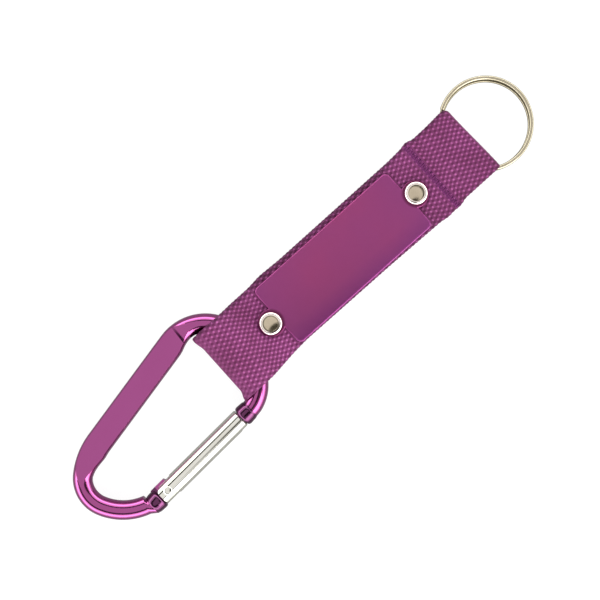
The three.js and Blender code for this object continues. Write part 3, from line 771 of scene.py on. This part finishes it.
def rivet_post(letter):
    """The rivet's other half, whose low head shows on the back."""
    node = "rivet_post_" + letter
    x, y, radius, low, high = round_node(node)
    head, shank = 0.75, 1.5
    profile = [(0, low + 0.05)]
    for i in range(1, 10):
        t = i / 10
        profile.append((radius * t, low + 0.05 * (1 - t) + 0.22 * t ** 4))
    profile += [(radius, low + 0.42), (radius, low + 0.6), (radius - 0.12, low + head)]
    profile += [(shank, low + head), (shank, high - 0.2), (shank - 0.2, high), (0, high)]
    piece = turned("post_" + letter, profile, x, y, NICKEL)
    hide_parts(node)
    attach(piece, "strap")


# ---- carabiner ----
FLAT_HALF = 2.1                # half thickness of the spine, pressed flat
FLAT_INNER = 5.25              # how far the spine spreads inwards from the rod's centre line
SPINE_ANGLE = math.radians(11.7)
NARROW = [(22.2, 29.6), (9.2, 74.1), (17.6, None)]     # radii and degrees of the narrow end's arcs
SPINE_END_X = -63.7
SPREAD_WIDE = (-16.0, -29.0)   # X where the flat spine starts to spread, and where it is full
SPREAD_NARROW = (-75.8, -66.5)
SPINE_POWER = 0.72             # how square the pressed section is; 1 is round
SPINE_SIDE_Y = -4              # the rod is pressed flat above this Y
GATE_SIDE_Y = -10              # the collars lie below this Y, one on each side of GATE_MIDDLE_X
GATE_MIDDLE_X = -40
WIDE_RUN_OUT = ((-23.75, -22.6, -20.0, -16.0), (0.0, 0.28, 0.66, 0.88))   # X, and rise above the spine
NARROW_RUN_OUT = (-71.0, -76.5, 0.91)      # start and end X, and rise
GATE_PIN = (middle("gate_hinge_pin").x - ORIGIN[0], middle("gate_hinge_pin").y - ORIGIN[1])
GATE_RADIUS = 3.15
HINGE_FACE = -3.30             # the rod's end faces, along the gate from its pin
LATCH_FACE = 31.44
BEYOND_COLLAR = 4.6            # length at each end of the rod that the collar's own sections fill
COLLAR_STEPS = [(0.0, 2.75), (0.1, 3.02), (0.3, 3.2), (0.7, 3.34), (1.0, 3.36), (2.6, 3.26), (3.1, 3.2),
                (3.4, 3.1), (3.6, ROD), (3.9, ROD)]     # depth from its face, and radius
TONGUE_REACH = 1.9             # from the hinge pin into the gate
TONGUE = [(HINGE_FACE - 1, -2.3), (TONGUE_REACH, -2.3), (TONGUE_REACH, 1.6), (0.9, 3.6),
          (HINGE_FACE - 1, 3.6)]
TONGUE_HALF = 1.1
NOSE_LENGTH = 2.0
NOSE_START = LATCH_FACE - NOSE_LENGTH
NOSE = [(NOSE_START, 0.35), (LATCH_FACE + 1, 0.35), (LATCH_FACE + 1, 1.85), (NOSE_START, 1.85)]
NOSE_HALF = 0.95


def on_gate(along, out=0.0):
    """X and Y of a point given along and across the closed gate, from its pin."""
    c, s = math.cos(GATE_ANGLE), math.sin(GATE_ANGLE)
    return GATE_PIN[0] + along * c - out * s, GATE_PIN[1] + along * s + out * c


def bend_stations(cx, cy, radius, start, end):
    """Stations (X, Y, heading) round an arc, about 0.3 mm apart."""
    count = max(int(abs(end - start) * radius / 0.3), 2)
    return [(cx + radius * math.cos(a), cy + radius * math.sin(a), a + PI / 2)
            for a in np.linspace(start, end, count)]


def rod_stations():
    """The rod's centre line from the latch collar round to the hinge collar: X, Y and heading."""
    lift = WIDE_HIGH[1] - WIDE_LOW[1]
    side = -math.asin((WIDE_HIGH[2] - WIDE_LOW[2]) / lift)
    stations = bend_stations(*WIDE_LOW, -PI / 2 + GATE_ANGLE, side)
    stations += bend_stations(*WIDE_HIGH, side, PI / 2 + SPINE_ANGLE)
    top_x, top_y, _ = stations[-1]
    spine_x = np.append(np.arange(top_x - 0.3, SPINE_END_X, -0.7), SPINE_END_X)
    stations += [(x, top_y + (x - top_x) * math.tan(SPINE_ANGLE), PI + SPINE_ANGLE) for x in spine_x]
    heading = PI + SPINE_ANGLE
    left = PI + GATE_ANGLE - SPINE_ANGLE
    for radius, turn in NARROW:
        turn = left if turn is None else math.radians(turn)
        left -= turn
        x, y, _ = stations[-1]
        cx, cy = x - radius * math.sin(heading), y + radius * math.cos(heading)
        stations += bend_stations(cx, cy, radius, heading - PI / 2, heading - PI / 2 + turn)[1:]
        heading += turn
    latch, hinge = on_gate(LATCH_FACE)[0], on_gate(HINGE_FACE)[0]
    kept = []
    for x, y, heading in stations:
        by_latch = GATE_MIDDLE_X < x < latch + BEYOND_COLLAR
        by_hinge = hinge - BEYOND_COLLAR < x < GATE_MIDDLE_X
        apart = not kept or math.hypot(x - kept[-1][0], y - kept[-1][1]) > 0.12
        if apart and not (y < GATE_SIDE_Y and (by_latch or by_hinge)):
            kept.append((x, y, heading))
    return kept


def rod_section(station, radius=ROD):
    """One closed section across the rod, pressed flat above and below along the spine."""
    x, y, heading = station
    spread = 0.0 if y < 0 else float(min(smooth(x, *SPREAD_WIDE), smooth(x, *SPREAD_NARROW)))
    clip = radius + 0.01
    if y > SPINE_SIDE_Y:
        start, end, rise = NARROW_RUN_OUT
        wide = float(np.interp(x, *WIDE_RUN_OUT))
        narrow = rise * float(smooth(x, start, end))
        clip = min(clip, FLAT_HALF + max(wide, narrow))
    reach_in = mix(radius, FLAT_INNER, spread)
    centre = (radius - reach_in) / 2
    width = (radius + reach_in) / 2
    power = mix(1.0, SPINE_POWER, spread)
    crease = math.asin(min(clip / radius, 0.995) ** (1 / power))
    side = np.linspace(-crease, crease, 21)
    flat = np.linspace(crease, PI - crease, 13)[1:-1]
    angles = np.concatenate([side, flat, side + PI, flat + PI])
    c, s = np.cos(angles), np.sin(angles)
    across = np.sign(c) * np.abs(c) ** power * width + centre
    up = np.clip(np.sign(s) * np.abs(s) ** power * radius, -clip, clip)
    out = heading - PI / 2
    return np.column_stack([x + across * math.cos(out), y + across * math.sin(out), ROD_Z + up])


def collar_sections(face, direction):
    """A swaged collar, tapering a little away from its bevelled face towards the gate."""
    sections = []
    for along, radius in COLLAR_STEPS:
        x, y = on_gate(face + direction * along)
        sections.append(rod_section((x, y, GATE_ANGLE), radius))
    return sections if direction > 0 else sections[::-1]


def block_on_gate(name, outline, half):
    """A flat block drawn along and across the gate, as thick as twice half."""
    points = []
    for z in (ROD_Z - half, ROD_Z + half):
        points += [(*on_gate(along, out), z) for along, out in outline]
    return outward(new_mesh(name, points, ring_faces(2, len(outline)), 30.0))


def carabiner_body():
    """One bent rod with a swaged collar at each end, the hinge tongue and the latch nose."""
    rings = collar_sections(LATCH_FACE, 1)
    rings += [rod_section(station) for station in rod_stations()]
    rings += collar_sections(HINGE_FACE, -1)
    body = outward(new_mesh("carabiner", np.vstack(rings), ring_faces(len(rings), len(rings[0]))))
    tools = [block_on_gate("tongue", TONGUE, TONGUE_HALF), block_on_gate("nose", NOSE, NOSE_HALF)]
    cut_with(body, tools, "UNION", 24.0, ROD_PURPLE)
    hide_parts("carabiner_body")
    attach(body, "carabiner")


# ---- gate ----
GATE_START = HINGE_FACE + 0.3
GATE_END = LATCH_FACE - 0.3
HINGE_SLOT_HALF = 1.35
LATCH_SLOT_HALF = 1.2
BORE = (2.1, 17.0)             # radius, and where it ends along the gate


def gate_bar(name, profile, sides=112):
    """A profile of (along, radius) pairs turned about the gate's axis."""
    points = []
    for along, radius in profile:
        for k in range(sides):
            angle = 2 * PI * k / sides
            points.append((*on_gate(along, radius * math.cos(angle)), ROD_Z + radius * math.sin(angle)))
    return outward(new_mesh(name, points, ring_faces(len(profile), sides), 30.0))


def gate_tube():
    """A polished bar with chamfered ends, drilled from its hinge end and slotted at both ends.

    Its inner corner beside the hinge is rounded about the pin, so the gate can swing inwards.
    """
    ease = 0.22                # chamfer of the bar's ends
    bar = gate_bar("gate", [(GATE_START, GATE_RADIUS - ease), (GATE_START + ease, GATE_RADIUS),
                            (GATE_END - ease, GATE_RADIUS), (GATE_END, GATE_RADIUS - ease)])
    wall = GATE_RADIUS + 1

    def box(name, x0, x1, y0, y1, half):
        return block_on_gate(name, [(x0, y0), (x1, y0), (x1, y1), (x0, y1)], half)

    radius, depth = BORE
    swing = GATE_RADIUS - 0.05
    corner = [(swing * math.cos(a), swing * math.sin(a)) for a in np.linspace(PI, PI / 2, 16)]
    corner += [(0.0, wall), (GATE_START - 1, wall), (GATE_START - 1, 0.0)]
    tools = [
        block_on_gate("corner", corner, wall),
        gate_bar("bore", [(GATE_START - 1, radius), (depth, radius)], 48),
        box("hinge_slot_in", GATE_START - 1, TONGUE_REACH + 1.2, -0.5, wall, HINGE_SLOT_HALF),
        box("hinge_slot_out", GATE_START - 1, TONGUE_REACH + 0.3, -wall, 0.0, HINGE_SLOT_HALF),
        box("latch_slot", GATE_END - NOSE_LENGTH - 0.5, GATE_END + 1, -wall, radius, LATCH_SLOT_HALF),
    ]
    cut_with(bar, tools, "DIFFERENCE", 30.0, ALUMINIUM)
    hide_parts("gate_tube")
    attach(bar, "gate")


def gate_pin():
    """The hinge pin, with its two ends peened over."""
    low, high = (corner.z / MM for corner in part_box("gate_hinge_pin"))
    head, thick, shank = 1.35, 0.3, 0.9
    peened = [(head * i / 6, thick * (1 - math.sqrt(1 - (i / 6) ** 2))) for i in range(1, 7)]
    profile = [(0, low)] + [(r, low + z) for r, z in peened] + [(shank, low + thick)]
    profile += [(shank, high - thick)] + [(r, high - z) for r, z in peened[::-1]] + [(0, high)]
    piece = turned("hinge_pin", profile, *GATE_PIN, ALUMINIUM, 48)
    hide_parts("gate_hinge_pin")
    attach(piece, "gate")


SPRING_COIL = (1.6, 0.25, 8)       # radius of the coil, radius of the wire, turns
SPRING_SPAN = (4.6, 16.65)         # from the plunger to the end of the bore, along the gate from its pin


def gate_spring():
    """The coil behind the plunger, which shortens as the plunger is pushed in."""
    radius, wire, turns = SPRING_COIL
    start, end = SPRING_SPAN
    axis = np.array([math.cos(GATE_ANGLE), math.sin(GATE_ANGLE), 0.0])
    level = np.array([-math.sin(GATE_ANGLE), math.cos(GATE_ANGLE), 0.0])
    pin = np.array([*GATE_PIN, ROD_Z])
    share = np.linspace(0, 1, turns * 32 + 1)
    turn = 2 * PI * turns * share
    radial = np.cos(turn)[:, None] * level + np.sin(turn)[:, None] * np.array([0.0, 0.0, 1.0])
    centre = pin + mix(start, end, share)[:, None] * axis + radius * radial
    piece = joined("spring", [tube(centre, wire, 10, radial)], STEEL)
    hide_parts("gate_spring")
    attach(piece, "gate")
    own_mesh(piece)


def plunger():
    """The CAD plunger is carried over, with its own steel."""
    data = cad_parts["gate_plunger"].data
    data.materials.clear()
    data.materials.append(STEEL)


# ---- split ring ----
RING_OUTER = 14.8                 # radius
RING_WIDE = 1.35                  # the wire's section
RING_TALL = 1.25
RING_GAP = 0.06                   # between the turns
RING_TURNS = 1.9
RING_SHRINK = 0.28                # how much tighter the lower turn is wound
RING_LEAN = math.radians(48)      # the direction in which it shows inside the upper one
RING_START = math.radians(157)    # the wire starts under the webbing and ends just outside it


def split_ring():
    """Round-edged wire wound twice, a little out of true: one turn low, a short climb, one turn high."""
    low, high = (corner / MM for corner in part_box("split_ring"))
    centre_x, centre_y = high.x - RING_OUTER - ORIGIN[0], high.y - RING_OUTER - ORIGIN[1]
    radius = RING_OUTER - RING_WIDE / 2
    stations = 520
    half_wide, half_tall = RING_WIDE / 2, RING_TALL / 2

    def squarish(value):
        return math.copysign(abs(value) ** 0.85, value)

    angles = [2 * PI * (k + 0.5) / 28 for k in range(28)]
    section = [(half_wide * squarish(math.cos(a)), half_tall * squarish(math.sin(a))) for a in angles]
    points, touching = [], []
    for i in range(stations + 1):
        t = i / stations
        angle = RING_START + 2 * PI * RING_TURNS * t
        upper = float(smooth(t * RING_TURNS, 0.91, 0.99))
        height = low.z + half_tall + upper * (RING_TALL + RING_GAP)
        from_end = min(t, 1 - t) * RING_TURNS * 2 * PI * radius
        ease = 1 - 0.25 * math.exp(-from_end / 0.12)
        shrink = RING_SHRINK * (1 - upper)
        turn_x = centre_x - shrink * math.cos(RING_LEAN)
        turn_y = centre_y - shrink * math.sin(RING_LEAN)
        for out, up in section:
            r = radius - shrink + out * ease
            points.append((turn_x + r * math.cos(angle), turn_y + r * math.sin(angle), height + up * ease))
            # the faces where the two turns meet; the material paints shade on them
            facing = mix(1, -1, upper) * up / half_tall
            touching.append(float(smooth(facing, 0.68, 0.9)))
    faces = ring_faces(stations + 1, len(section))
    piece = outward(new_mesh("ring", points, faces, 50.0, attributes={"coil_shade": touching}))
    piece.data.materials.append(RING_NICKEL)
    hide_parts("split_ring")
    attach(piece, "split_ring")


# ---- studio ----
PHOTO_TURN = math.radians(41.9)       # the strap runs up to the right across the picture
CAMERA_HEIGHT = 0.35                  # above the name plate
VIEW_WIDTH = 0.18405                  # width of the picture at the name plate's level
VIEW_SHIFT = (-0.0011, -0.0003)       # of the picture's middle from the middle of the CAD box


def sheet(name, corners):
    """A flat studio object with one face."""
    data = bpy.data.meshes.new(name)
    data.from_pydata(corners, [], [tuple(range(len(corners)))])
    piece = bpy.data.objects.new(name, data)
    bpy.context.scene.collection.objects.link(piece)
    return piece


def camera():
    data = bpy.data.cameras.new("camera")
    data.sensor_width = 36.0
    data.lens = data.sensor_width * CAMERA_HEIGHT / VIEW_WIDTH
    data.clip_start = 0.01
    data.clip_end = 20.0
    eye = bpy.data.objects.new("camera", data)
    centre = (CAD_BOX[0] + CAD_BOX[1]) / 2
    aim = Vector((centre.x + VIEW_SHIFT[0], centre.y + VIEW_SHIFT[1], top_of("name_plate") * MM))
    eye.location = aim + Vector((0, 0, CAMERA_HEIGHT))
    eye.rotation_euler = (0.0, 0.0, -PHOTO_TURN)
    bpy.context.scene.collection.objects.link(eye)
    bpy.context.scene.camera = eye


def floor():
    """White paper; the camera sees it nearly shadowless, as on a light table."""
    half = 3.0
    ground = sheet("floor", [(-half, -half, 0), (half, -half, 0), (half, half, 0), (-half, half, 0)])
    s = Surface("floor_paper", Roughness=0.9)
    grain = s.noise(40.0, 3.0, s.place_in_object())
    s.link("Base Color", s.blend(grain, (0.80, 0.80, 0.80, 1), (0.82, 0.82, 0.82, 1)))
    path = s.add("ShaderNodeLightPath").outputs
    seen = s.shader.outputs[0]
    # glossy rays see the floor mostly as a dim glow, a painted darker floor in the metal's reflections;
    # camera rays see it mostly as an even white glow
    for ray, share, strength in (("Is Glossy Ray", 0.75, 0.3), ("Is Camera Ray", 0.8, 1.1)):
        glow = s.add("ShaderNodeEmission", {"Color": (1.0, 1.0, 1.0, 1.0), "Strength": strength}).outputs[0]
        mixing = {0: s.math("MULTIPLY", path[ray], share), 1: seen, 2: glow}
        seen = s.add("ShaderNodeMixShader", mixing).outputs[0]
    s.tree.links.new(seen, s.tree.nodes["Material Output"].inputs["Surface"])
    ground.data.materials.append(s.material)


GAP = 0.03                                                   # light between the tent's panels
OVERHEAD = [(0.845, GAP), (0.87, 0.36), (1.0, 0.34)]         # stops: height of the direction, and light
NEAR_SIDE = [(0.0, 0.80), (0.45, 0.82), (0.65, 0.88), (0.675, GAP)] + OVERHEAD
FAR_SIDE = [(0.0, 0.14), (0.12, 0.28), (0.30, 0.75), (0.69, 0.85), (0.715, GAP)] + OVERHEAD
GLINT = [(0.0, 0.0), (0.26, 0.0), (0.32, 0.45), (0.43, 0.45), (0.50, 0.0)]
SKY_LEVEL, GLINT_LEVEL = 2.9, 9.0


def sky():
    """A light tent: a soft panel overhead, a dark gap round it, bright near sides and dim far ones.

    A low strip is much brighter for glossy rays alone, which whitens the highlights on the metal.
    """
    world = bpy.data.worlds.new("tent")
    world.use_nodes = True
    bpy.context.scene.world = world
    s = Nodes(world.node_tree)
    s.tree.nodes.clear()
    direction = s.add("ShaderNodeTexCoord").outputs["Generated"]
    height = s.axes(direction)["Z"]

    def ramp(stops):
        made = s.add("ShaderNodeValToRGB", {"Fac": height})
        elements = made.color_ramp.elements
        elements.remove(elements[1])
        for i, (at, level) in enumerate(stops):
            element = elements[0] if i == 0 else elements.new(at)
            element.position = at
            green = 1.04 if level > 0.5 else 1.0
            element.color = (level, level * green, level, 1)
        return made.outputs["Color"]

    away = (math.sin(PHOTO_TURN), math.cos(PHOTO_TURN), 0.0)
    far = s.spread(s.vector_math("DOT_PRODUCT", direction, away)["Value"], -0.05, 0.45)
    tent = s.blend(far, ramp(NEAR_SIDE), ramp(FAR_SIDE))
    path = s.add("ShaderNodeLightPath").outputs
    shade = s.blend(path["Is Camera Ray"], tent, (0.5, 0.5, 0.5, 1.0))
    glint = s.math("MULTIPLY", ramp(GLINT), path["Is Glossy Ray"])
    level = s.math("MULTIPLY_ADD", glint, GLINT_LEVEL, SKY_LEVEL)
    background = s.add("ShaderNodeBackground", {"Color": shade, "Strength": level}).outputs[0]
    s.add("ShaderNodeOutputWorld", {"Surface": background})


def key_light():
    """A soft key from the strap's lower edge."""
    data = bpy.data.lights.new("key", "AREA")
    data.shape = "RECTANGLE"
    data.size, data.size_y = 0.42, 0.22
    data.energy = 1.15
    lamp = bpy.data.objects.new("key", data)
    lamp.location = (0.0, -0.42, 0.36)
    lamp.rotation_euler = (-lamp.location).to_track_quat("-Z", "Y").to_euler()
    bpy.context.scene.collection.objects.link(lamp)


def dark_card():
    """A soft-edged black card hung above the strap's lower edge, seen only in the polished metal."""
    x, y, z = -4.0, -49.0, 132.0
    wide, deep = 78.0, 38.0
    angles = 2 * PI * np.arange(48) / 48
    outline = [(x + wide * math.cos(a), y + deep * math.sin(a), z) for a in angles]
    card = sheet("dark_card", place(outline).tolist())
    s = Surface("black_card", Roughness=1.0)
    s.shader.inputs["Base Color"].default_value = (0.07, 0.065, 0.055, 1.0)
    s.shader.inputs["Specular IOR Level"].default_value = 0.0
    s.link("Alpha", s.spread(s.from_centre(), 0.5, 0.27))
    card.data.materials.append(s.material)
    card.visible_camera = False
    card.visible_diffuse = False
    card.visible_shadow = False


# ---- assembly ----
hook = hook_tape()
ring = ring_tape()
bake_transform(hook)
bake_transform(ring)
seam("seam_front", FRONT_SEAM_Z, 1, "stitch_thread_front")
seam("seam_back", BACK_SEAM_Z, -1, "stitch_thread_back")
name_plate()
for letter in "ab":
    rivet_cap(letter)
    rivet_post(letter)
carabiner_body()
gate_tube()
gate_pin()
gate_spring()
plunger()
split_ring()
floor()
sky()
key_light()
dark_card()
camera()
bpy.context.scene.view_settings.view_transform = "Standard"
